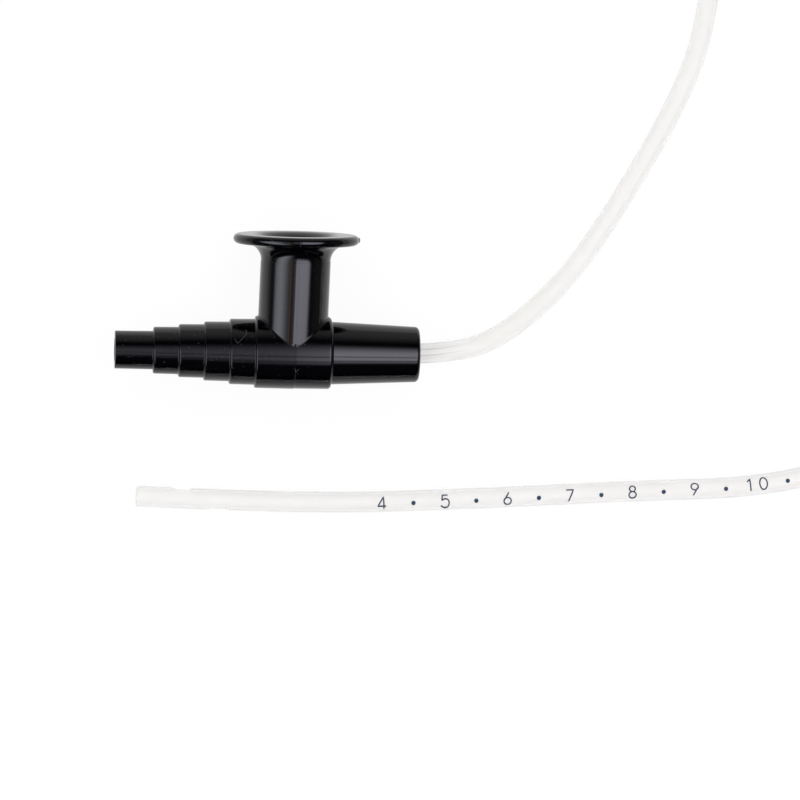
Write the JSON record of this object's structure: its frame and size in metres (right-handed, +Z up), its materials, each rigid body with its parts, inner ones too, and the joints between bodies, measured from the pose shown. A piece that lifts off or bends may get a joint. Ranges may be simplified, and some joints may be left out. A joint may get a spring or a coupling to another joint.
{
  "type": "suction catheter",
  "caption": "Suction catheter with a stepped black valve, a flanged thumb port and a thin clear tube that ends in an open tip with side eyes.",
  "frame": {"origin": "on the surface that the catheter lies on, under the middle of the box round the valve", "axes": "+X from the stepped connector to the hub along the valve's barrel, +Y the way the chimney points, +Z up"},
  "size_m": [0.1422, 0.1329, 0.0196],
  "materials": {
    "black_moulding": "glossy injection moulding, with a faint parting line and light scratches",
    "clear_tube": "soft clear tubing, frosted, with dark grey centimetre marks"
  },
  "bodies": {
    "root": {"control_valve": "black_moulding", "catheter_tube": "clear_tube"}
  },
  "joints": []
}
